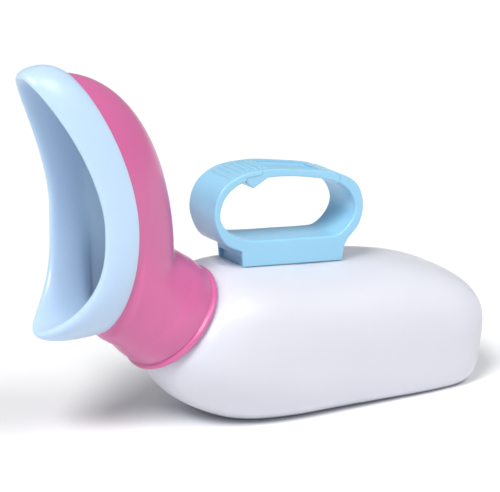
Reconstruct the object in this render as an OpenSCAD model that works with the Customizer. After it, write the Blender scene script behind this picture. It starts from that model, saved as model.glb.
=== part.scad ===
// Hand-held urine bottle with a swivelling funnel, a soft mouth and a hook-on handle.
// Frame: millimetres, +Z up, origin on the flat underside, -X towards the mouth.

/* [Bottle] */
// Half width of the body
body_half_w = 47.5; // [42:0.5:52]
// Wall thickness of the body
body_wall = 2; // [1.5:0.1:2.5]
// Angle of the neck above the horizontal
neck_angle = 41.1; // [38:0.1:44]
// Outer radius of the neck spigot
neck_r = 27.6; // [27:0.1:27.8]
// Wall thickness of the neck spigot
neck_wall = 2.4; // [1.8:0.1:3]
// Length of the neck spigot in front of the funnel's bead
neck_len = 17; // [14:0.5:18]

/* [Funnel] */
// Outer radius of the bead at the funnel's foot
bead_r = 32; // [31.5:0.1:32.5]
// Bore radius of the funnel's sleeve
sleeve_r = 28.2; // [28.1:0.1:28.6]
// Wall thickness of the funnel
funnel_wall = 1.8; // [1.5:0.1:2.2]
// Half width of the funnel at the mouth
mouth_half_w = 31.2; // [30:0.5:33]
// Half width between the crests of the soft lip
crest_half_w = 28; // [26:0.1:28.5]
// Thickness of the soft lip's liner
liner_wall = 2.2; // [1.8:0.1:2.6]

/* [Handle] */
// Width of the handle band
band_w = 25.2; // [24:0.2:26]
// Slope of the seat that the handle stands on
seat_slope = 6.5; // [6:0.1:7]
// Width of the rail's head
rail_head_w = 14; // [12:0.5:15]
// Gap between the handle and the parts beside it
play = 0.4; // [0.3:0.05:0.5]

/* [Hidden] */
ring_n = 36;                       // points round every lofted ring
bond = 0.2;                        // bond line between funnel and soft rim
lip_step = 0.3;                    // how far the lip stands out past the funnel
foot = [-105, 0, 59.2];            // centre of the funnel's bead
ax = [-cos(neck_angle), 0, sin(neck_angle)];
up = [sin(neck_angle), 0, cos(neck_angle)];
side = [0, 1, 0];
elbow = [-137.4, 0, 86.6];           // where the neck's axis meets the cup's upright axis
elbow_r = 29.8;
seat = [-65, 0, 82.3];             // front end of the handle's seat
groove_r = 26.4;                   // floor of the seal's groove
seal_d = 9;                        // seal's place along the neck
seal_w = 3.4;
run = 0.05;                        // running clearance of the seal
shoulder_extra = 1.2;              // extra wall at the shoulder, fading along the body

// Stations along the body: top x, z, bottom x, z, half width as a share, roundness exponents
STATIONS = [
    [-84.9, 78.8, -118.6, 38.9, 0.57, 2, 2],
    [-82.8, 80.8, -118.5, 35.9, 0.66, 2, 2],
    [-78.5, 82.8, -115.6, 29.4, 0.75, 2.1, 2.1],
    [-70, 84.2, -107.8, 18.1, 0.845, 2.15, 2.15],
    [-58, 83.3, -95, 8, 0.925, 2.2, 2.3],
    [-42, 80.8, -76, -0.3, 0.97, 2.25, 2.6],
    [-22, 78, -50, -2.5, 0.99, 2.3, 3.2],
    [0, 76, -20, -2.6, 1, 2.35, 3.6],
    [20, 73.5, 8, -2.6, 1, 2.4, 4.2],
    [37.5, 69.9, 29.5, -2.6, 1, 2.45, 4.8],
    [51, 66, 45.5, -2.6, 0.985, 2.6, 5.2],
    [62, 61.8, 57, -2.5, 0.96, 2.7, 5.2],
    [69.8, 57.6, 63.8, -1.9, 0.92, 2.8, 4.8],
    [75.2, 53.4, 68, -0.8, 0.86, 2.9, 4.4],
    [78.6, 49.4, 70.8, 1, 0.78, 2.8, 3.8],
    [80.4, 45, 72.8, 3.6, 0.68, 2.6, 3.2],
    [81.1, 40.4, 74, 7.5, 0.56, 2.3, 2.6]
];

// ---- curves ----
function mix(a, b, t) = a * (1 - t) + b * t;
function ramp(a, b, x) = let (t = min(1, max(0, (x - a) / (b - a)))) t * t * (3 - 2 * t);
function unit(v) = v / norm(v);
function bez(p, q, r, s, t) =
    pow(1 - t, 3) * p + 3 * t * pow(1 - t, 2) * q + 3 * t * t * (1 - t) * r + pow(t, 3) * s;
function spline_at(a, b, c, d, t) =
    0.5 * (2 * b + (c - a) * t + (2 * a - 5 * b + 4 * c - d) * t * t
    + (3 * b - a - 3 * c + d) * pow(t, 3));
// Smooth open curve through the points, with n steps between neighbours
function spline(pts, n) =
    let (last = len(pts) - 1, p = concat([2 * pts[0] - pts[1]], pts, [2 * pts[last] - pts[last - 1]]))
    concat([for (i = [1:last], s = [0:n - 1]) spline_at(p[i - 1], p[i], p[i + 1], p[i + 2], s / n)],
        [pts[last]]);
// Smooth closed curve through the points
function loop_curve(pts, n) =
    let (m = len(pts))
    [for (i = [0:m - 1], s = [0:n - 1])
        spline_at(pts[(i + m - 1) % m], pts[i], pts[(i + 1) % m], pts[(i + 2) % m], s / n)];
function power(v, p) = sign(v) * pow(abs(v), p);

// ---- solids from rings of points ----
function strip_faces(n, m, wrap) =
    [for (j = [0:n - (wrap ? 1 : 2)], i = [0:m - 1], k = [0, 1])
        let (a = j * m + i, b = j * m + (i + 1) % m, o = ((j + 1) % n) * m,
            c = o + i, d = o + (i + 1) % m)
        k == 0 ? [a, d, b] : [a, c, d]];
module ring_solid(rows) {
    n = len(rows);
    m = len(rows[0]);
    polyhedron([for (r = rows) each r], strip_faces(n, m, true));
}
module capped_solid(rows) {
    n = len(rows);
    m = len(rows[0]);
    first = [for (i = [0:m - 1]) i];
    last = [for (i = [m - 1:-1:0]) (n - 1) * m + i];
    polyhedron([for (r = rows) each r], concat(strip_faces(n, m, false), [first], [last]));
}

// ---- body of the bottle ----
function body_ring(s, inset, lift) =
    let (top = [s[0], 0, s[1]], low = [s[2], 0, s[3]], half = (top - low) / 2, mid = (top + low) / 2,
        shrink = 1 - inset / norm(half), w = body_half_w * s[4] - inset)
    [for (i = [0:ring_n - 1])
        let (a = 360 * i / ring_n, e = sin(a) > 0 ? s[5] : s[6],
            p = mid + half * shrink * power(sin(a), 2 / e) + side * w * power(cos(a), 2 / e))
        [p.x, p.y, max(p.z, lift)]];
module along_neck() {
    translate(foot) rotate([0, neck_angle - 90, 0]) children();
}
module on_seat() {
    translate(seat) rotate([0, seat_slope, 0]) children();
}
module bottle() {
    outer = spline(STATIONS, 3);
    inner = spline([for (i = [2:14]) STATIONS[i]], 2);
    color("whitesmoke") difference() {
        union() {
            difference() {
                capped_solid([for (s = outer) body_ring(s, 0, 0)]);
                on_seat() translate([-12, -band_w / 2 - play, 0]) cube([110, band_w + 2 * play, 20]);
            }
            along_neck() translate([0, 0, -8]) cylinder(h = neck_len + 8, r = neck_r, $fn = 96);
            on_seat() rail();
        }
        difference() {
            capped_solid([for (i = [0:len(inner) - 1])
                body_ring(inner[i], body_wall + max(0, shoulder_extra - 0.4 * i), body_wall)]);
            on_seat() translate([-30, -band_w / 2 - 3, -body_wall]) cube([140, band_w + 6, 20]);
        }
        along_neck() translate([0, 0, -14]) cylinder(h = neck_len + 20, r = neck_r - neck_wall, $fn = 96);
        along_neck() translate([0, 0, seal_d - seal_w / 2]) seal_groove();
    }
}
module seal_groove() {
    difference() {
        cylinder(h = seal_w, r = neck_r + 1, $fn = 96);
        translate([0, 0, -1]) cylinder(h = seal_w + 2, r = groove_r, $fn = 96);
    }
}
// T-shaped rail: a web with a wider head, moulded with the body
rail_web_w = 8;
rail_web_h = 3.2;
rail_head_h = 2.6;
rail_start = 14;
rail_len = 42;
module rail() {
    translate([rail_start, -rail_web_w / 2, -1.2]) cube([rail_len, rail_web_w, rail_web_h + 1.3]);
    translate([rail_start, -rail_head_w / 2, rail_web_h]) cube([rail_len, rail_head_w, rail_head_h]);
}

// ---- sealing ring on the neck ----
module neck_seal() {
    bore = groove_r + run;
    rim_r = sleeve_r - run;
    w = seal_w - 2 * run;
    color("lightgray") along_neck() translate([0, 0, seal_d - w / 2])
        rotate_extrude($fn = 96) polygon([
            [bore, 0], [rim_r - 0.5, 0], [rim_r, 0.5], [rim_r, w - 0.5], [rim_r - 0.5, w], [bore, w]]);
}

// ---- funnel: an elbow between a circle on the neck and a saddle-shaped mouth ----
// th is 0 at the back of the funnel and 180 at its front lip
function outward(th) = [0, sin(th), cos(th)];
mouth_mid_z = 118.4;
function oval(th, w, z_top, z_low) =
    [w * sin(th), mouth_mid_z + cos(th) * (cos(th) > 0 ? z_top - mouth_mid_z : mouth_mid_z - z_low)];
// A saddle's distance forward: flat at mid height, growing by a power towards both ends
function saddle(z, mid_x, mid_z, z_top, grow_top, e_top, z_low, grow_low, e_low) =
    mid_x - (z > mid_z ? grow_top * pow((z - mid_z) / (z_top - mid_z), e_top)
        : grow_low * pow((mid_z - z) / (mid_z - z_low), e_low));
function mouth(th) =
    let (o = oval(th, mouth_half_w, 201.3, 59.3))
    [saddle(o[1], -143.2, 120.7, 201.3, 23.7, 1.71, 59.3, 9.2, 2.18), o[0], o[1]];
function crest(th) =
    let (o = oval(th, crest_half_w, 203, 64.8))
    [saddle(o[1], -161.5, 123.7, 203, 32.8, 1.6, 64.8, 26.2, 3.3), o[0], o[1]];
function barrel(th, d, r) = foot + ax * d + r * (cos(th) * up + sin(th) * side);
function front_share(th) = ramp(40, 140, min(th, 360 - th));
function crease_share(th) = 1 - ramp(15, 75, min(th, 360 - th));
barrel_end = 18;
barrel_end_r = 30.2;
function elbow_point(th) =
    let (w = front_share(th), p = barrel(th, barrel_end, barrel_end_r),
        mitre = elbow + elbow_r * (cos(th) * [1, 0, 0.441] + sin(th) * side))
    mix(mitre, mix(p, mouth(th), 0.6) - 0.8 * up, w);
function elbow_dir(th) = unit(mix([0, 0, 1], ax - [0.15, 0, 0], front_share(th)));
// Funnel skin: t runs 0 to 1 from the sleeve to the elbow, and 1 to 2 from there to the mouth
function skin(th, t) =
    let (k = elbow_point(th), kd = elbow_dir(th))
    t < 1 ? skin_low(th, t, k, kd) : skin_high(th, t - 1, k, kd);
function skin_low(th, t, k, kd) =
    let (p = barrel(th, barrel_end, barrel_end_r), reach = norm(k - p) * 0.33,
        into = unit(mix(kd, ax, crease_share(th))))
    bez(p, p + ax * reach, k - into * reach, k, t);
function skin_high(th, t, k, kd) =
    let (m = mouth(th), span = norm(m - k), flare = 0.07 - 0.24 * ramp(120, 175, min(th, 360 - th)))
    bez(k, k + kd * span * 0.4, m + span * ([0.35, 0, 0] - flare * outward(th)), m, t);
// The skin moved inwards along its own normal
function inset_skin(th, t, depth) =
    let (dt = 0.03, da = 3, t0 = max(0, t - dt), t1 = min(2, t + dt),
        along = skin(th, t1) - skin(th, t0), round = skin(th + da, t) - skin(th - da, t))
    skin(th, t) - depth * unit(cross(round, along));
function skin_row(t, depth) = [for (i = [0:ring_n - 1]) inset_skin(360 * i / ring_n, t, depth)];
low_steps = [0.25, 0.5, 0.75, 1];
high_steps = [1.12, 1.25, 1.4, 1.55, 1.7, 1.85, 2];
function backwards(v) = [for (i = [len(v) - 1:-1:0]) v[i]];
module funnel() {
    steps = concat(low_steps, high_steps);
    ring_in = [for (i = [0:ring_n - 1]) barrel(360 * i / ring_n, barrel_end - 2, 28.9)];
    ring_out = [for (i = [0:ring_n - 1]) barrel(360 * i / ring_n, barrel_end - 2, 29.7)];
    rows = concat([ring_out, skin_row(0.02, 0)], [for (t = steps) skin_row(t, 0)],
        [for (t = backwards(steps)) skin_row(t, funnel_wall)], [skin_row(0.02, funnel_wall), ring_in]);
    color("hotpink") {
        ring_solid(rows);
        along_neck() sleeve();
    }
}
// Turned foot of the funnel: rounded bead, then a gently bellied sleeve
module sleeve() {
    bead = [for (a = [-75:15:75]) [bead_r - 1.6 + 1.6 * cos(a), 1.6 * sin(a)]];
    belly = spline([[30.5, 2.2], [30.7, 5], [31, 9.6], [30.8, 14], [barrel_end_r, barrel_end]], 3);
    rotate_extrude($fn = 96) polygon(concat([[sleeve_r, -1.5]], bead, belly,
        [[29.6, barrel_end + 0.6], [sleeve_r, barrel_end + 0.6]]));
}

// ---- soft rim: a fat lip round the mouth and a liner inside the cup ----
function fat(th) = 2.8 + (cos(th) > 0 ? 1 : 2.9) * pow(cos(th), 2);
function lift(th) = 0.4 + (cos(th) > 0 ? 9.3 : 1.5) * pow(cos(th), 4);
function lip_outer(th, t) =
    let (m = mouth(th) + [-bond, 0, 0] + lip_step * outward(th), c = crest(th), span = norm(c - m))
    bez(m, m - [0.38 * span, 0, 0] + lift(th) * outward(th), c + fat(th) * outward(th), c, t);
function lip_inner(th, t) =
    let (c = crest(th), deep = funnel_wall + bond + liner_wall,
        e = inset_skin(th, 1.85, deep), past = e + 10 * unit(e - inset_skin(th, 1.75, deep)))
    bez(c, c - 4 * outward(th), past, e, t);
function lip_row(t, inner) =
    [for (i = [0:ring_n - 1]) inner ? lip_inner(360 * i / ring_n, t) : lip_outer(360 * i / ring_n, t)];
module rim() {
    liner = [1.7, 1.55, 1.4, 1.25, 1.12, 1, 0.75, 0.5, 0.3];
    outer_t = [0, 0.15, 0.3, 0.5, 0.7, 0.85, 1];
    inner_t = [0.12, 0.25, 0.45, 0.7, 1];
    rows = concat([for (t = outer_t) lip_row(t, false)], [for (t = inner_t) lip_row(t, true)],
        [for (t = liner) skin_row(t, funnel_wall + bond + liner_wall)],
        [for (t = backwards(concat([1.85], liner))) skin_row(t, funnel_wall + bond)],
        [skin_row(2, funnel_wall + bond)]);
    color("lightblue") ring_solid(rows);
}

// ---- handle: a closed loop on a channel that slides over the rail ----
LOOP_OUT = [[-67, 91.2], [-77.3, 97], [-82.8, 105.8], [-84.6, 115], [-82, 124], [-75.8, 130.3],
    [-64.5, 134.1], [-46, 133.8], [-28, 130.6], [-10, 126.6], [1.6, 121.9], [9, 115.2], [11.9, 104.7],
    [9.2, 94.4], [1.6, 86.8]];
BASE = [[-0.4, 83.4], [-2, 75.5], [-66, 82.6]];
LOOP_IN = [[-80.6, 115], [-78.4, 121.4], [-73.2, 126.4], [-64.8, 129.5], [-49.7, 129.7], [-31.5, 127.3],
    [-14, 123], [-3.3, 118.6], [3.4, 112.6], [6.7, 104.3], [4, 96.8], [-3.8, 91],
    [-13, 90.9], [-31.4, 93], [-50, 95.1], [-64.5, 97.6], [-74.3, 102.8], [-79.7, 109.2]];
outside = spline(LOOP_OUT, 4);
inside = loop_curve(LOOP_IN, 4);
hinge = [-6, 0, 122.3];            // axis of the gate, across the loop
hinge_xz = [hinge.x, hinge.z];
knuckle_r = 2.2;
module band(w) {
    rotate([90, 0, 0]) linear_extrude(height = w, center = true) children();
}
module loop_shape() {
    difference() {
        polygon(concat(outside, BASE));
        polygon(inside);
    }
}
// Room that the handle leaves for the gate
module gate_room() {
    polygon([[-53.2 - play, 142], [-54.2 - play, 131.9 + play], [-64 - play, 131.6 + play],
        [-66 - play, 119], [-40, 109], [hinge.x, 109], hinge_xz,
        [hinge.x + 1.4, hinge.z + 1.8], [hinge.x + 1.4, 142]]);
    translate([hinge.x, hinge.z]) circle(r = knuckle_r + play, $fn = 48);
}
// The gate: a stretch of the loop's top between its tongue and its rounded hinge end
TONGUE = [[-50.5, 129.6], [-58.2, 126], [-60.6, 125.7], [-64.2, 129], [-64, 131.6], [-54.2, 131.9]];
function stretch(curve) = [for (p = curve) if (p.x > -49 && p.x < hinge.x - 1 && p.y > 110) p];
module gate_shape() {
    knuckle = [for (a = [75:-15:-105]) [hinge.x + knuckle_r * cos(a), hinge.z + knuckle_r * sin(a)]];
    polygon(concat([[-53.2, 134.3]], stretch(outside), knuckle, backwards(stretch(inside)), TONGUE));
}
module handle() {
    color("skyblue") difference() {
        band(band_w) difference() {
            loop_shape();
            gate_room();
        }
        on_seat() channel();
    }
}
// Slot for the rail, open at its rear end, and a shallow pocket in the closed front end
pocket_w = 22;
module channel() {
    wide = rail_head_w + 2 * play;
    front = rail_start - play;
    translate([front, -rail_web_w / 2 - play, -10]) cube([60, rail_web_w + 2 * play, 15]);
    translate([front, -wide / 2, rail_web_h - play]) cube([60, wide, rail_head_h + 2 * play]);
    translate([-10, -pocket_w / 2, -10]) cube([10.6, pocket_w, 15.8]);
}
module handle_gate() {
    color("skyblue") difference() {
        band(band_w) gate_shape();
        band(tray_w) tray();
    }
}
// Shallow tray that follows the top of the gate
tray_w = 15;
tray_depth = 1.2;
module tray() {
    intersection() {
        translate([-47, 120]) square([33, 20]);
        difference() {
            translate([0, 5]) polygon(outside);
            translate([0, -tray_depth]) polygon(outside);
        }
    }
}

bottle();
neck_seal();
funnel();
rim();
handle();
handle_gate();
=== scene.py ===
"""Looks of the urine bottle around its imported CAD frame. Lengths are millimetres until a mesh is made."""
import math

import bmesh
import bpy
import numpy as np
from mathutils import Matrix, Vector


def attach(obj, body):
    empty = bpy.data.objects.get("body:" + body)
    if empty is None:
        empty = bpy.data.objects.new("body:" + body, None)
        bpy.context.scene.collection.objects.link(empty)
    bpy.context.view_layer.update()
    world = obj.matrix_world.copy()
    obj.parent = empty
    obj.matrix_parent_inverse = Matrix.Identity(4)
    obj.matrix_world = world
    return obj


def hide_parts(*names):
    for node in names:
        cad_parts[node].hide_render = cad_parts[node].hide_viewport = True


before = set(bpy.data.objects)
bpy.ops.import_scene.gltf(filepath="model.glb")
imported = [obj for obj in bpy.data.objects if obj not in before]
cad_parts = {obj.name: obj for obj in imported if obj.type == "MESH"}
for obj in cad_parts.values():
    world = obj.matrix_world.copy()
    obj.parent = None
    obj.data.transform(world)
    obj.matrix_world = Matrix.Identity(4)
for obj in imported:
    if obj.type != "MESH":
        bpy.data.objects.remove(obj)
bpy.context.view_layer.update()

MM = 0.001
RING = 144  # points round every lofted ring

# ---- dimensions, as in the CAD model ----
BODY_HALF_W = 47.5
BODY_WALL = 2.0
NECK_ANGLE = math.radians(41.1)
NECK_R = 27.6
NECK_BORE = 25.2
NECK_LEN = 17.0
BEAD_R = 32.0
SLEEVE_R = 28.2
FUNNEL_WALL = 1.8
MOUTH_HALF_W = 31.2
CREST_HALF_W = 28.0
LINER_WALL = 2.2
BAND_W = 25.2
SEAT_SLOPE = math.radians(6.5)
PLAY = 0.4
RAIL_START = 14.0
RAIL_END = 56.0
STEM_HALF_W = 4.0
HEAD_HALF_W = 7.0
HEAD_LOW = 3.2
HEAD_TOP = 5.8
FOOT = np.array([-105.0, 0.0, 59.2])
AX = np.array([-math.cos(NECK_ANGLE), 0.0, math.sin(NECK_ANGLE)])
UP = np.array([math.sin(NECK_ANGLE), 0.0, math.cos(NECK_ANGLE)])
SIDE = np.array([0.0, 1.0, 0.0])
ELBOW = np.array([-137.4, 0.0, 86.6])
ELBOW_R = 29.8
SEAT = np.array([-65.0, 0.0, 82.3])
SEAT_AX = np.array([math.cos(SEAT_SLOPE), 0.0, -math.sin(SEAT_SLOPE)])
SEAT_UP = np.array([math.sin(SEAT_SLOPE), 0.0, math.cos(SEAT_SLOPE)])
MOUTH_MID_Z = 118.4
BARREL_END = 18.0
BARREL_END_R = 30.2
HINGE = np.array([-6.0, 0.0, 122.3])
KNUCKLE_R = 2.2
SEAM_GAP = 0.2
EDGE_ROUND = 0.9
CORNER_ROUND = 0.12
TRAY = (-47, -14)
LIP_STEP = 0.3
SEAL_AT = 9.0
SEAL_HALF_W = 1.65

# Stations along the body: top x, z, bottom x, z, share of the half width, roundness above and below
STATIONS = [
    (-84.9, 78.8, -118.6, 38.9, 0.57, 2.0, 2.0),
    (-82.8, 80.8, -118.5, 35.9, 0.66, 2.0, 2.0),
    (-78.5, 82.8, -115.6, 29.4, 0.75, 2.1, 2.1),
    (-70, 84.2, -107.8, 18.1, 0.845, 2.15, 2.15),
    (-58, 83.3, -95, 8, 0.925, 2.2, 2.3),
    (-42, 80.8, -76, -0.3, 0.97, 2.25, 2.6),
    (-22, 78, -50, -2.5, 0.99, 2.3, 3.2),
    (0, 76, -20, -2.6, 1.0, 2.35, 3.6),
    (20, 73.5, 8, -2.6, 1.0, 2.4, 4.2),
    (37.5, 69.9, 29.5, -2.6, 1.0, 2.45, 4.8),
    (51, 66, 45.5, -2.6, 0.985, 2.6, 5.2),
    (62, 61.8, 57, -2.5, 0.96, 2.7, 5.2),
    (69.8, 57.6, 63.8, -1.9, 0.92, 2.8, 4.8),
    (75.2, 53.4, 68, -0.8, 0.86, 2.9, 4.4),
    (78.6, 49.4, 70.8, 1, 0.78, 2.8, 3.8),
    (80.4, 45, 72.8, 3.6, 0.68, 2.6, 3.2),
    (81.1, 40.4, 74, 7.5, 0.56, 2.3, 2.6),
]
# Outlines in the XZ plane of the handle's loop, its base, and the gate's tongue
LOOP_OUT = [
    (-67, 91.2), (-77.3, 97), (-82.8, 105.8), (-84.6, 115), (-82, 124), (-75.8, 130.3), (-64.5, 134.1),
    (-46, 133.8), (-28, 130.6), (-10, 126.6), (1.6, 121.9), (9, 115.2), (11.9, 104.7), (9.2, 94.4),
    (1.6, 86.8),
]
BASE = [(-0.4, 83.4), (-2, 75.5), (-66, 82.6)]
LOOP_IN = [
    (-80.6, 115), (-78.4, 121.4), (-73.2, 126.4), (-64.8, 129.5), (-49.7, 129.7), (-31.5, 127.3),
    (-14, 123), (-3.3, 118.6), (3.4, 112.6), (6.7, 104.3), (4, 96.8), (-3.8, 91),
    (-13, 90.9), (-31.4, 93), (-50, 95.1), (-64.5, 97.6), (-74.3, 102.8), (-79.7, 109.2),
]
TONGUE = [(-50.5, 129.6), (-58.2, 126), (-60.6, 125.7), (-64.2, 129), (-64, 131.6), (-54.2, 131.9)]
ARM_TIP = [(-53.85, 134.25), (-54.4, 132.05), (-64.2, 131.75), (-64.45, 129.55)]
# Raised bars across the arm's tip and the gate: place along X and height
ARM_RIBS = [(-72, 0.35), (-68, 0.5), (-64, 0.65), (-60, 0.75), (-56.2, 0.75)]
GATE_RIBS = [(-51.8, 0.7), (-48.6, 0.5)]


# ---- curves ----
def ramp(a, b, x):
    t = np.clip((np.asarray(x, float) - a) / (b - a), 0, 1)
    return t * t * (3 - 2 * t)


def unit(v):
    return v / np.linalg.norm(v, axis=-1, keepdims=True)


def bez(p, q, r, s, t):
    return (1 - t) ** 3 * p + 3 * t * (1 - t) ** 2 * q + 3 * t * t * (1 - t) * r + t ** 3 * s


def spline_at(a, b, c, d, t):
    return 0.5 * (2 * b + (c - a) * t + (2 * a - 5 * b + 4 * c - d) * t ** 2
                  + (3 * b - a - 3 * c + d) * t ** 3)


def spline(points, n):
    """Smooth open curve through the points, n steps between neighbours."""
    p = np.asarray(points, float)
    p = np.vstack([2 * p[0] - p[1], p, 2 * p[-1] - p[-2]])
    out = [spline_at(*p[i - 1:i + 3], s / n) for i in range(1, len(p) - 2) for s in range(n)]
    return np.array(out + [p[-2]])


def loop_curve(points, n):
    """Smooth closed curve through the points."""
    p = np.asarray(points, float)
    m = len(p)
    return np.array([spline_at(p[i - 1], p[i], p[(i + 1) % m], p[(i + 2) % m], s / n)
                     for i in range(m) for s in range(n)])


def power(v, p):
    return np.sign(v) * np.abs(v) ** p


# ---- meshes ----
def make_object(name, mesh, body, slot, *nodes):
    obj = bpy.data.objects.new(name, mesh)
    bpy.context.scene.collection.objects.link(obj)
    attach(obj, body)
    if nodes:
        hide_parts(*nodes)
    return obj


def mesh_of(name, verts, faces):
    mesh = bpy.data.meshes.new(name)
    mesh.from_pydata([tuple(v) for v in np.asarray(verts) * MM], [], faces)
    clean = bmesh.new()
    clean.from_mesh(mesh)
    bmesh.ops.remove_doubles(clean, verts=clean.verts, dist=2e-6)
    bmesh.ops.recalc_face_normals(clean, faces=clean.faces)
    clean.to_mesh(mesh)
    clean.free()
    return mesh


def split_wide(mesh):
    """Cuts the faces of more than four corners into triangles."""
    clean = bmesh.new()
    clean.from_mesh(mesh)
    wide = [f for f in clean.faces if len(f.verts) > 4]
    bmesh.ops.triangulate(clean, faces=wide, ngon_method="EAR_CLIP")
    clean.to_mesh(mesh)
    clean.free()


def ring_mesh(name, rows, wrap=False, caps=False):
    """A skin over rings of equal length; wrap joins the last ring to the first, caps closes both ends."""
    rows = np.asarray(rows)
    n, m = rows.shape[:2]
    faces = []
    for j in range(n if wrap else n - 1):
        a, b = j * m, ((j + 1) % n) * m
        faces += [(a + i, a + (i + 1) % m, b + (i + 1) % m, b + i) for i in range(m)]
    if caps:
        faces += [tuple(range(m)), tuple((n - 1) * m + i for i in range(m))]
    return mesh_of(name, rows.reshape(-1, 3), faces)


def smooth(mesh, angle=35):
    for p in mesh.polygons:
        p.use_smooth = True
    mesh.set_sharp_from_angle(angle=math.radians(angle))


def applied(obj):
    """The object's mesh with its modifiers applied, which takes the place of its old one."""
    graph = bpy.context.evaluated_depsgraph_get()
    graph.update()
    mesh = bpy.data.meshes.new_from_object(obj.evaluated_get(graph))
    obj.modifiers.clear()
    obj.data = mesh
    return mesh


# ---- bottle ----
TURN = np.linspace(0, 2 * math.pi, RING, endpoint=False)


def body_ring(s, inset, lift):
    """The body's outline at a station, moved inwards by the inset and kept above the lift."""
    top, low = np.array([s[0], 0, s[1]]), np.array([s[2], 0, s[3]])
    half, mid = (top - low) / 2, (top + low) / 2
    shrink = 1 - inset / np.linalg.norm(half)
    w = BODY_HALF_W * s[4] - inset
    e = np.where(np.sin(TURN) > 0, s[5], s[6])
    p = mid + power(np.sin(TURN), 2 / e)[:, None] * half * shrink
    p = p + (w * power(np.cos(TURN), 2 / e))[:, None] * SIDE
    p[:, 2] = np.maximum(p[:, 2], lift)
    return p


def neck_ring(d, r):
    return FOOT + d * AX + r * (np.sin(TURN)[:, None] * UP + np.cos(TURN)[:, None] * SIDE)


def on_seat(p, depth=0.0):
    """Presses the band under the handle flat onto its seat, or to a depth under it."""
    rel = p - SEAT
    height = rel @ SEAT_UP
    share = 1 - ramp(BAND_W / 2 + 0.4, BAND_W / 2 + 2.2, np.abs(p[:, 1]))
    along = rel @ SEAT_AX
    share = share * ramp(-13, -10, along) * (1 - ramp(90, 105, along))
    return p - (np.maximum(height + depth, 0) * share)[:, None] * SEAT_UP


def dome(ring, depth, steps):
    """Rings that close a loft with a low dome, from the given ring to its middle."""
    mid = ring.mean(0)
    spoke = ring - mid
    out = unit(np.cross(spoke[0], spoke[RING // 4]))
    if out[0] < 0:
        out = -out
    return [mid + spoke * math.cos(a) + depth * math.sin(a) * out
            for a in np.linspace(0, 0.485 * math.pi, steps + 1)[1:]]


def bottle_mesh():
    outer = spline(STATIONS, 9)
    inner = spline(STATIONS[2:15], 5)
    inside = [on_seat(body_ring(s, BODY_WALL + max(0, 1.2 - 0.16 * i), BODY_WALL), BODY_WALL)
              for i, s in enumerate(inner)]
    outside = [on_seat(body_ring(s, 0, 0)) for s in outer]
    rows = dome(inside[-1], 1.0, 3)[::-1] + inside[::-1]
    rows += [neck_ring(d, NECK_BORE) for d in (-6, 0, 8, NECK_LEN - 1.2)]
    lip_r = (NECK_R - NECK_BORE) / 2
    rows += [neck_ring(NECK_LEN - lip_r + lip_r * math.sin(a), NECK_BORE + lip_r - lip_r * math.cos(a))
             for a in np.linspace(0.2, math.pi - 0.2, 9)]
    groove = ((11.2, NECK_R), (10.8, NECK_R - 0.2), (10.6, 26.5), (10.4, 26.4), (7.6, 26.4), (7.4, 26.5),
              (7.2, NECK_R - 0.2), (6.8, NECK_R))
    rows += [neck_ring(d, r) for d, r in groove]
    rows += [neck_ring(d, NECK_R) for d in (4, 0)]
    rows += outside + dome(outside[-1], 1.2, 6)
    return ring_mesh("bottle_body", rows, caps=True)


def seat_rows(outline, *places):
    """An outline of (across, above the seat) at each place along the seat."""
    return [[SEAT + SEAT_AX * s + SIDE * y + SEAT_UP * h for y, h in outline] for s in places]


def rail_mesh():
    """T-shaped rail under the handle, with softened edges."""
    half = [(STEM_HALF_W, -1.2), (STEM_HALF_W, HEAD_LOW), (HEAD_HALF_W, HEAD_LOW), (HEAD_HALF_W, HEAD_TOP)]
    outline = [(-STEM_HALF_W, -1.2)] + half + [(-y, h) for y, h in half[:0:-1]]
    return ring_mesh("bottle_rail", seat_rows(outline, RAIL_START, RAIL_END), caps=True)


def bevel(obj, width, segments=3, angle=40):
    mod = obj.modifiers.new("bevel", "BEVEL")
    mod.width = width * MM
    mod.segments = segments
    mod.limit_method = "ANGLE"
    mod.angle_limit = math.radians(angle)
    mod.harden_normals = False


# ---- funnel ----
def outward(th):
    return np.stack([0 * th, np.sin(th), np.cos(th)], -1)


def oval(th, w, z_top, z_low):
    c = np.cos(th)
    return w * np.sin(th), MOUTH_MID_Z + c * np.where(c > 0, z_top - MOUTH_MID_Z, MOUTH_MID_Z - z_low)


def saddle(z, mid_x, mid_z, z_top, grow_top, e_top, z_low, grow_low, e_low):
    up = grow_top * np.abs((z - mid_z) / (z_top - mid_z)) ** e_top
    down = grow_low * np.abs((mid_z - z) / (mid_z - z_low)) ** e_low
    return mid_x - np.where(z > mid_z, up, down)


def mouth(th):
    y, z = oval(th, MOUTH_HALF_W, 201.3, 59.3)
    return np.stack([saddle(z, -143.2, 120.7, 201.3, 23.7, 1.71, 59.3, 9.2, 2.18), y, z], -1)


def crest(th):
    y, z = oval(th, CREST_HALF_W, 203, 64.8)
    return np.stack([saddle(z, -161.5, 123.7, 203, 32.8, 1.6, 64.8, 26.2, 3.3), y, z], -1)


def barrel(th, d, r):
    return FOOT + AX * d + r * (np.cos(th)[:, None] * UP + np.sin(th)[:, None] * SIDE)


def from_back(th):
    """Angle from the back of the funnel, in degrees, 0 to 180 on either side."""
    a = np.degrees(th) % 360
    return np.minimum(a, 360 - a)


def front_share(th):
    return ramp(40, 140, from_back(th))[:, None]


def elbow_point(th):
    w = front_share(th)
    mitre = ELBOW + ELBOW_R * (np.cos(th)[:, None] * np.array([1, 0, 0.441]) + np.sin(th)[:, None] * SIDE)
    front = 0.4 * barrel(th, BARREL_END, BARREL_END_R) + 0.6 * mouth(th) - 0.8 * UP
    return mitre * (1 - w) + front * w


def elbow_dir(th):
    w = front_share(th)
    return unit(np.array([0, 0, 1]) * (1 - w) + (AX - np.array([0.15, 0, 0])) * w)


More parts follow.
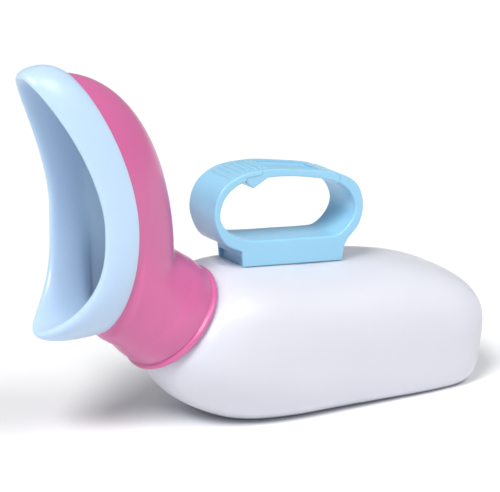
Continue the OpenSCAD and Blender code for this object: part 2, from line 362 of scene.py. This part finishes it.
def skin(th, t):
    """The funnel's outer skin: t runs 0 to 1 from the sleeve to the elbow, and 1 to 2 to the mouth."""
    k, kd = elbow_point(th), elbow_dir(th)
    if t < 1:
        p = barrel(th, BARREL_END, BARREL_END_R)
        crease = 1 - ramp(15, 75, from_back(th))[:, None]
        reach = np.linalg.norm(k - p, axis=1, keepdims=True) * 0.33
        into = unit(kd * (1 - crease) + AX * crease)
        return bez(p, p + AX * reach, k - into * reach, k, t)
    m = mouth(th)
    span = np.linalg.norm(m - k, axis=1, keepdims=True)
    flare = 0.07 - 0.24 * ramp(120, 175, from_back(th))[:, None]
    return bez(k, k + kd * span * 0.4, m + span * (np.array([0.35, 0, 0]) - flare * outward(th)), m, t - 1)


def inset_skin(t, depth, th=TURN):
    """The skin moved inwards along its own normal."""
    dt, da = 0.03, math.radians(3)
    along = skin(th, min(2, t + dt)) - skin(th, max(0, t - dt))
    round_ = skin(th + da, t) - skin(th - da, t)
    return skin(th, t) - depth * unit(np.cross(round_, along))


def funnel_mesh():
    rows = [barrel(TURN, BARREL_END + 0.6, SLEEVE_R), barrel(TURN, 4, SLEEVE_R), barrel(TURN, -1, SLEEVE_R)]
    rows += [barrel(TURN, -1.4, SLEEVE_R + 0.4)]
    rows += [barrel(TURN, 1.6 * math.sin(a), BEAD_R - 1.6 + 1.6 * math.cos(a))
             for a in np.linspace(-1.45, 1.3, 13)]
    belly = spline([(30.45, 2.3), (30.7, 5), (31, 9.6), (30.8, 14), (BARREL_END_R, BARREL_END)], 5)
    rows += [barrel(TURN, 1.9, 30.3)] + [barrel(TURN, d, r) for r, d in belly]
    steps = list(np.linspace(0, 1, 9)[1:]) + list(np.linspace(1, 2, 41)[1:])
    rows += [inset_skin(t, 0) for t in steps]
    rows += [inset_skin(t, FUNNEL_WALL) for t in steps[::-1]]
    return ring_mesh("funnel_elbow", rows, wrap=True)


# ---- soft rim ----
def lip_outer():
    """The lip's outer face, from the mouth to the crest."""
    m, c, out = mouth(TURN), crest(TURN), outward(TURN)
    span = np.linalg.norm(c - m, axis=1, keepdims=True)
    cos = np.cos(TURN)[:, None]
    lift = 0.4 + np.where(cos > 0, 9.3, 1.5) * cos ** 4
    fat = 2.8 + np.where(cos > 0, 1, 2.9) * cos ** 2
    start = m - np.array([0.2, 0, 0]) + LIP_STEP * out
    rise = m - np.array([0.38, 0, 0]) * span + lift * out
    return [bez(start, rise, c + fat * out, c, t) for t in np.linspace(0, 1, 27)]


LINER_STEPS = list(np.linspace(0.3, 1.8, 46)) + [1.85]
EVENING_PASSES = 80


def liner_face(depth):
    """The cup's inner face, evened out, from the sleeve to just inside the lip."""
    grid = np.array([inset_skin(t, depth) for t in LINER_STEPS])
    for _ in range(EVENING_PASSES):
        grid = (np.roll(grid, 1, 1) + 2 * grid + np.roll(grid, -1, 1)) / 4
        grid[1:-1] = (grid[:-2] + 2 * grid[1:-1] + grid[2:]) / 4
    return grid


def rim_mesh():
    c, out = crest(TURN), outward(TURN)
    inner = liner_face(FUNNEL_WALL + 0.2 + LINER_WALL)
    end = inner[-1]
    rows = lip_outer()
    past = end + 10 * unit(end - inner[-2])
    rows += [bez(c, c - 4 * out, past, end, t) for t in np.linspace(0, 1, 21)[1:]]
    rows += list(inner[-2::-1])
    rows += [inset_skin(0.28, FUNNEL_WALL + LINER_WALL / 2)]
    rows += [inset_skin(t, FUNNEL_WALL + 0.1) for t in LINER_STEPS + [1.92, 1.995]]
    return ring_mesh("soft_rim", rows, wrap=True)


# ---- handle and gate ----
def slab(name, outline, half_w, round_, seams=()):
    """An outline in the XZ plane drawn out across Y, with rounded edges except along its seams."""
    points = np.asarray(outline, float)
    rows = [np.stack([points[:, 0], np.full(len(points), y), points[:, 1]], -1) for y in (-half_w, half_w)]
    mesh = ring_mesh(name, rows, caps=True)
    seam = [any(math.hypot(x * MM - v.co.x, z * MM - v.co.z) < 2e-6 for x, z in seams) for v in mesh.vertices]
    weight = mesh.attributes.new("bevel_weight_edge", "FLOAT", "EDGE")
    for e in mesh.edges:
        a, b = e.vertices
        along = abs(mesh.vertices[a].co.y - mesh.vertices[b].co.y) < 1e-6
        weight.data[e.index].value = 1.0 if along and not (seam[a] and seam[b]) else 0.0
    obj = bpy.data.objects.new(name, mesh)
    bpy.context.scene.collection.objects.link(obj)
    mod = obj.modifiers.new("round", "BEVEL")
    mod.limit_method = "WEIGHT"
    mod.width = round_ * MM
    mod.segments = 5
    mod.use_clamp_overlap = False
    rounded = applied(obj)
    bpy.data.objects.remove(obj)
    return rounded


def cut(obj, *cutters):
    for mesh in cutters:
        cutter = bpy.data.objects.new("cutter", mesh)
        bpy.context.scene.collection.objects.link(cutter)
        mod = obj.modifiers.new("cut", "BOOLEAN")
        mod.operation = "DIFFERENCE"
        mod.solver = "EXACT"
        mod.object = cutter
        applied(obj)
        bpy.data.objects.remove(cutter)
    split_wide(obj.data)


def seat_box(s0, s1, half_w, h0, h1):
    corners = ((-half_w, h0), (half_w, h0), (half_w, h1), (-half_w, h1))
    return ring_mesh("cutter", seat_rows(corners, s0, s1), caps=True)


def steady(obj, angle=35):
    """Smooth shading with flat faces kept flat."""
    split_wide(obj.data)
    smooth(obj.data, angle)
    mod = obj.modifiers.new("normals", "WEIGHTED_NORMAL")
    mod.keep_sharp = True
    applied(obj)


HANDLE_OUT = spline(LOOP_OUT, 12)
HANDLE_IN = loop_curve(LOOP_IN, 12)
LOOP_MID_Z = 110


def around_hinge(r, start, end):
    return [(HINGE[0] + r * math.cos(a), HINGE[2] + r * math.sin(a))
            for a in np.radians(np.linspace(start, end, 12))]


def handle_outline():
    """The fixed part of the loop with its base, and the points of its seams."""
    out, inn = HANDLE_OUT, HANDLE_IN
    left = [tuple(p) for p in out if p[0] < -54.3 and p[1] > 91]
    right = [tuple(p) for p in out if p[0] > HINGE[0] + 2.2]
    right = [p for p in right if p not in left]
    high = [i for i, p in enumerate(inn[:len(inn) // 2]) if p[1] > 113]
    last_left = max(i for i in high if inn[i][0] < -64.7)
    first_right = min(i for i in high if inn[i][0] > HINGE[0] + 1.6)
    inner = [tuple(p) for p in inn[last_left::-1]] + [tuple(p) for p in inn[:first_right - 1:-1]]
    socket = around_hinge(KNUCKLE_R + SEAM_GAP, -58, 46)
    return left + ARM_TIP + inner + socket + right + BASE, set(ARM_TIP + socket)


def loop_part(name, outline, seams, body, node, *cutters):
    """A piece of the loop: a rounded slab with its cuts, and with softened corners."""
    mesh = slab(name, outline, BAND_W / 2, EDGE_ROUND, seams)
    obj = make_object(name, mesh, body, "handle", node)
    cut(obj, *cutters)
    bevel(obj, CORNER_ROUND, 2, 50)
    applied(obj)
    steady(obj)
    return obj


def handle_object():
    outline, seams = handle_outline()
    start = RAIL_START - PLAY
    stem_slot = seat_box(start, 74, STEM_HALF_W + PLAY, -10, 5)
    head_slot = seat_box(start, 74, HEAD_HALF_W + PLAY, HEAD_LOW - PLAY, HEAD_TOP + PLAY)
    pocket = seat_box(-10, 0.6, 11, -10, 5.8)
    return loop_part("handle_loop", outline, seams, "handle", "handle", stem_slot, head_slot, pocket)


def rib_object(name, ribs, body, node):
    """Short raised bars across the top of the loop."""
    verts, faces = [], []
    sides, lengths = 16, 25
    turns = np.linspace(0, 2 * math.pi, sides, endpoint=False)
    slope = unit(np.gradient(HANDLE_OUT, axis=0))
    for x, height in ribs:
        i = int(np.argmin(np.abs(HANDLE_OUT[:, 0] - x) + (HANDLE_OUT[:, 1] < 120) * 99))
        along = np.array([slope[i][0], 0, slope[i][1]])
        up = np.array([-along[2], 0, along[0]])
        mid = np.array([HANDLE_OUT[i][0], 0, HANDLE_OUT[i][1]])
        rows = [mid + SIDE * y * 9.2 + (1 - abs(y) ** 6) ** 0.5 * (
            1.15 * np.cos(turns)[:, None] * along + height * np.sin(turns)[:, None] * up)
            for y in np.linspace(-0.995, 0.995, lengths)]
        start = len(verts)
        verts += [v for row in rows for v in row]
        for j in range(lengths - 1):
            a, b = start + j * sides, start + (j + 1) * sides
            faces += [(a + k, a + (k + 1) % sides, b + (k + 1) % sides, b + k) for k in range(sides)]
        faces += [tuple(range(start, start + sides)), tuple(range(len(verts) - sides, len(verts)))]
    obj = make_object(name, mesh_of(name, verts, faces), body, "handle", node)
    smooth(obj.data, 60)
    return obj


def gate_outline():
    """The gate's bar with its tongue, and the points of its seams."""
    inside = [tuple(p) for p in HANDLE_IN if -46 < p[0] < HINGE[0] - 1 and p[1] > LOOP_MID_Z]
    outside = [tuple(p) for p in HANDLE_OUT if -52.5 < p[0] < HINGE[0] - 1 and p[1] > LOOP_MID_Z]
    knuckle = around_hinge(KNUCKLE_R, 75, -100)
    tongue = [tuple(p) for p in spline(TONGUE[:4], 6)] + TONGUE[4:]
    tip = [(-53.65, 134.25)]
    return tip + outside + knuckle + inside[::-1] + tongue, set(tip + knuckle + TONGUE[3:])


def tray_cutter():
    """The shallow tray in the gate's top, as a tool to cut it with."""
    start, end = TRAY
    top = [tuple(p) for p in HANDLE_OUT if start < p[0] < end and p[1] > LOOP_MID_Z]
    outline = [(x, z - 1.3) for x, z in top] + [(end, 142), (start, 142)]
    return slab("cutter", outline, 7.6, 0.5)


def gate_object():
    outline, seams = gate_outline()
    return loop_part("gate_bar", outline, seams, "gate", "handle_gate", tray_cutter())


# ---- seal ----
def seal_object():
    """Ring with rounded outer corners, in the neck's groove."""
    corner = [(0, 26.45), (0, 27.65), (0.2, 28.0), (0.5, 28.15)]
    rows = [neck_ring(SEAL_AT - SEAL_HALF_W + d, r) for d, r in corner]
    rows += [neck_ring(SEAL_AT + SEAL_HALF_W - d, r) for d, r in corner[::-1]]
    mesh = ring_mesh("neck_seal_ring", rows, wrap=True)
    smooth(mesh, 40)
    return make_object("neck_seal_ring", mesh, "seal", "seal", "neck_seal")


# ---- materials ----
class Nodes:
    """A small helper that adds shader nodes to a new material."""

    def __init__(self, name):
        self.mat = bpy.data.materials.new(name)
        self.mat.use_nodes = True
        self.tree = self.mat.node_tree
        self.bsdf = self.tree.nodes["Principled BSDF"]

    def add(self, kind, **inputs):
        node = self.tree.nodes.new("ShaderNode" + kind)
        for key, value in inputs.items():
            node.inputs[key.replace("_", " ")].default_value = value
        return node

    def link(self, a, out, b, into):
        self.tree.links.new(a.outputs[out], b.inputs[into])

    def noise(self, scale, detail=2, roughness=0.5):
        place = self.tree.nodes.new("ShaderNodeTexCoord")
        node = self.add("TexNoise", Scale=scale, Detail=detail, Roughness=roughness)
        self.link(place, "Object", node, "Vector")
        return node

    def spread(self, noise, low, high):
        node = self.add("MapRange", To_Min=low, To_Max=high)
        node.inputs["From Min"].default_value = 0.3
        node.inputs["From Max"].default_value = 0.7
        self.link(noise, "Fac", node, "Value")
        return node

    def tint(self, noise, dark, light):
        node = self.tree.nodes.new("ShaderNodeMix")
        node.data_type = "RGBA"
        node.inputs[6].default_value = (*dark, 1)
        node.inputs[7].default_value = (*light, 1)
        self.link(noise, "Fac", node, "Factor")
        self.tree.links.new(node.outputs[2], self.bsdf.inputs["Base Color"])

    def bump(self, noises, distance):
        """Adds bump from (noise, strength) pairs."""
        last = None
        for noise, strength in noises:
            node = self.add("Bump", Strength=strength, Distance=distance)
            self.link(noise, "Fac", node, "Height")
            if last:
                self.link(last, "Normal", node, "Normal")
            last = node
        self.link(last, "Normal", self.bsdf, "Normal")

    def set(self, **values):
        for key, value in values.items():
            self.bsdf.inputs[key.replace("_", " ")].default_value = value


def srgb(r, g, b):
    """A screen colour, 0 to 255, as linear light."""
    return tuple(((c / 255 + 0.055) / 1.055) ** 2.4 if c > 10 else c / 3294.6 for c in (r, g, b))


def plastic(name, dark, light, rough, coat, coat_rough, scatter, radius, grain):
    """Moulded plastic: faint cloudiness in the colour, a fine surface grain and a slow mould ripple."""
    m = Nodes(name)
    cloud = m.noise(18, 3)
    fine = m.noise(2600, 2)
    ripple = m.noise(24, 0)
    m.tint(cloud, dark, light)
    spread = m.spread(m.noise(60, 2), rough - 0.02, rough + 0.02)
    m.link(spread, "Result", m.bsdf, "Roughness")
    m.bump([(ripple, 0.05), (fine, grain)], 0.0006)
    m.set(Coat_Weight=coat, Coat_Roughness=coat_rough, Subsurface_Weight=scatter, Subsurface_Scale=0.004)
    m.bsdf.inputs["Subsurface Radius"].default_value = radius
    return m.mat


# ---- build ----
def dress(obj, mat):
    obj.data.materials.clear()
    obj.data.materials.append(mat)


def build():
    hdpe = plastic("translucent_polyethylene", srgb(212, 213, 227), srgb(217, 218, 231), 0.38, 0.15, 0.3,
                   0.95, (1.6, 1.6, 1.7), 0.03)
    pink = plastic("pink_polypropylene", srgb(198, 94, 148), srgb(203, 100, 153), 0.32, 0.35, 0.22,
                   0.2, (1.0, 0.35, 0.6), 0.02)
    blue = plastic("blue_polypropylene", srgb(142, 195, 223), srgb(148, 201, 228), 0.34, 0.25, 0.25,
                   0.2, (0.5, 0.8, 1.0), 0.02)
    soft = plastic("soft_blue_elastomer", srgb(182, 206, 230), srgb(188, 211, 234), 0.34, 0.25, 0.3,
                   0.6, (0.8, 1.0, 1.2), 0.02)
    rubber = plastic("grey_rubber", srgb(120, 122, 126), srgb(132, 134, 138), 0.6, 0.0, 0.3,
                     0.0, (1, 1, 1), 0.1)

    body = make_object("bottle_body", bottle_mesh(), "bottle", "bottle", "bottle")
    smooth(body.data, 32)
    dress(body, hdpe)
    rail = make_object("bottle_rail", rail_mesh(), "bottle", "bottle", "bottle")
    bevel(rail, 0.4)
    applied(rail)
    smooth(rail.data, 40)
    dress(rail, hdpe)
    dress(seal_object(), rubber)
    funnel = make_object("funnel_elbow", funnel_mesh(), "funnel", "funnel", "funnel")
    smooth(funnel.data, 40)
    dress(funnel, pink)
    rim = make_object("soft_rim", rim_mesh(), "funnel", "rim", "rim")
    smooth(rim.data, 50)
    dress(rim, soft)
    dress(handle_object(), blue)
    dress(rib_object("handle_ribs", ARM_RIBS, "handle", "handle"), blue)
    dress(rib_object("gate_ribs", GATE_RIBS, "gate", "handle_gate"), blue)
    dress(gate_object(), blue)


# ---- floor, light and camera ----
def sun_light(name, toward, spread, strength):
    """A distant soft light from the given direction."""
    data = bpy.data.lights.new(name, "SUN")
    data.energy = strength
    data.angle = math.radians(spread)
    obj = bpy.data.objects.new(name, data)
    obj.location = toward
    obj.rotation_euler = Vector(toward).to_track_quat("Z", "Y").to_euler()
    bpy.context.scene.collection.objects.link(obj)


def stage():
    """The floor, the plain surroundings and the two lights."""
    side = 12.0
    corners = [(-side, -side, 0), (side, -side, 0), (side, side, 0), (-side, side, 0)]
    mesh = bpy.data.meshes.new("floor")
    mesh.from_pydata(corners, [], [(0, 1, 2, 3)])
    floor = bpy.data.objects.new("floor", mesh)
    bpy.context.scene.collection.objects.link(floor)
    m = Nodes("pale_floor")
    m.tint(m.noise(3), (0.84, 0.84, 0.84), (0.86, 0.86, 0.86))
    m.set(Roughness=0.9)
    dress(floor, m.mat)

    world = bpy.data.worlds.new("studio")
    bpy.context.scene.world = world
    world.use_nodes = True
    world.node_tree.nodes["Background"].inputs["Color"].default_value = (0.96, 0.98, 1, 1)
    world.node_tree.nodes["Background"].inputs["Strength"].default_value = 0.4
    sun_light("key", (0.35, -1.1, 1.5), 25, 1.15)
    sun_light("left", (-1.1, -0.7, 1.6), 22, 2.4)


def camera():
    """The camera at the photograph's viewing angle."""
    data = bpy.data.cameras.new("camera")
    data.lens = 259.2
    data.sensor_width = 36
    cam = bpy.data.objects.new("camera", data)
    cam.location = (-1.083, -1.526, 0.659)
    look = Vector((-0.0538, 0, 0.0893)) - cam.location
    cam.rotation_euler = look.to_track_quat("-Z", "Y").to_euler()
    bpy.context.scene.collection.objects.link(cam)
    bpy.context.scene.camera = cam
    bpy.context.scene.view_settings.view_transform = "Standard"


build()
stage()
camera()
bpy.context.view_layer.update()
